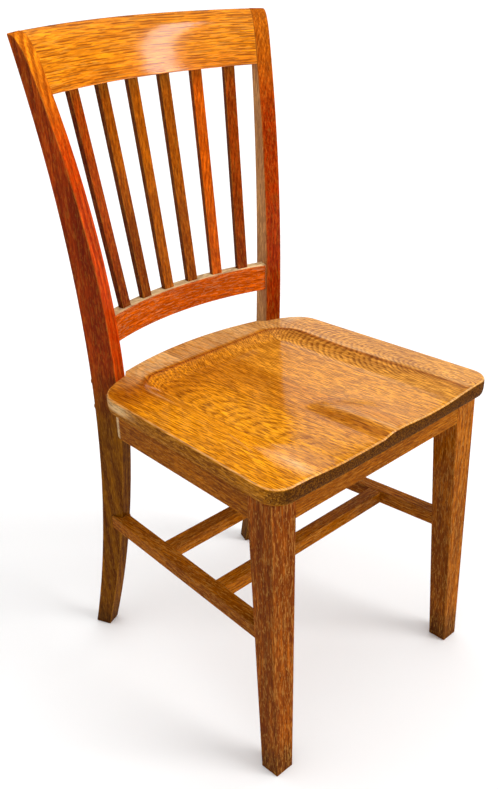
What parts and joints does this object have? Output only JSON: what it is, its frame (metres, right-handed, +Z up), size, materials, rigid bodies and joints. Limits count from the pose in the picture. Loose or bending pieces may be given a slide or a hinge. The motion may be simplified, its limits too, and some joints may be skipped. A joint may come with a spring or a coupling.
{
  "type": "dining chair",
  "caption": "Oak side chair with a solid saddle seat, a curved slatted back, square tapered front legs, sawn back posts and low stretchers.",
  "frame": {"origin": "on the floor, at the centre of the footprint", "axes": "+Z up, the sitter faces -Y, +X to the right when the chair is seen from its front"},
  "size_m": [0.4144, 0.4778, 0.8876],
  "materials": {
    "seat_oak": "gloss varnish over golden oak",
    "leg_oak": "gloss varnish over brown oak",
    "post_oak": "gloss varnish over red-brown oak",
    "apron_oak": "gloss varnish over brown oak",
    "block_wood": "bare sawn wood",
    "stretcher_oak": "gloss varnish over brown oak",
    "rail_oak": "gloss varnish over orange oak",
    "crest_oak": "gloss varnish over golden oak",
    "slat_oak": "gloss varnish over red-brown oak",
    "button_oak": "gloss varnish over brown oak",
    "screw_steel": "plain zinc-plated steel"
  },
  "bodies": {
    "root": {"seat_board_1": "seat_oak", "seat_board_2": "seat_oak", "seat_board_3": "seat_oak", "seat_board_4": "seat_oak", "seat_board_5": "seat_oak", "front_leg_left": "leg_oak", "front_leg_right": "leg_oak", "back_post_left": "post_oak", "back_post_right": "post_oak", "front_apron": "apron_oak", "rear_apron": "apron_oak", "side_apron_left": "apron_oak", "side_apron_right": "apron_oak", "front_corner_block_left": "block_wood", "front_corner_block_right": "block_wood", "rear_corner_block_left": "block_wood", "rear_corner_block_right": "block_wood", "side_stretcher_left": "stretcher_oak", "side_stretcher_right": "stretcher_oak", "front_cross_stretcher": "stretcher_oak", "rear_cross_stretcher": "stretcher_oak", "lower_back_rail": "rail_oak", "crest_rail": "crest_oak", "slat_1": "slat_oak", "slat_2": "slat_oak", "slat_3": "slat_oak", "slat_4": "slat_oak", "slat_5": "slat_oak", "slat_6": "slat_oak", "post_screw_buttons": "button_oak", "post_screws": "screw_steel", "corner_block_screws": "screw_steel", "seat_screws": "screw_steel"}
  },
  "joints": []
}
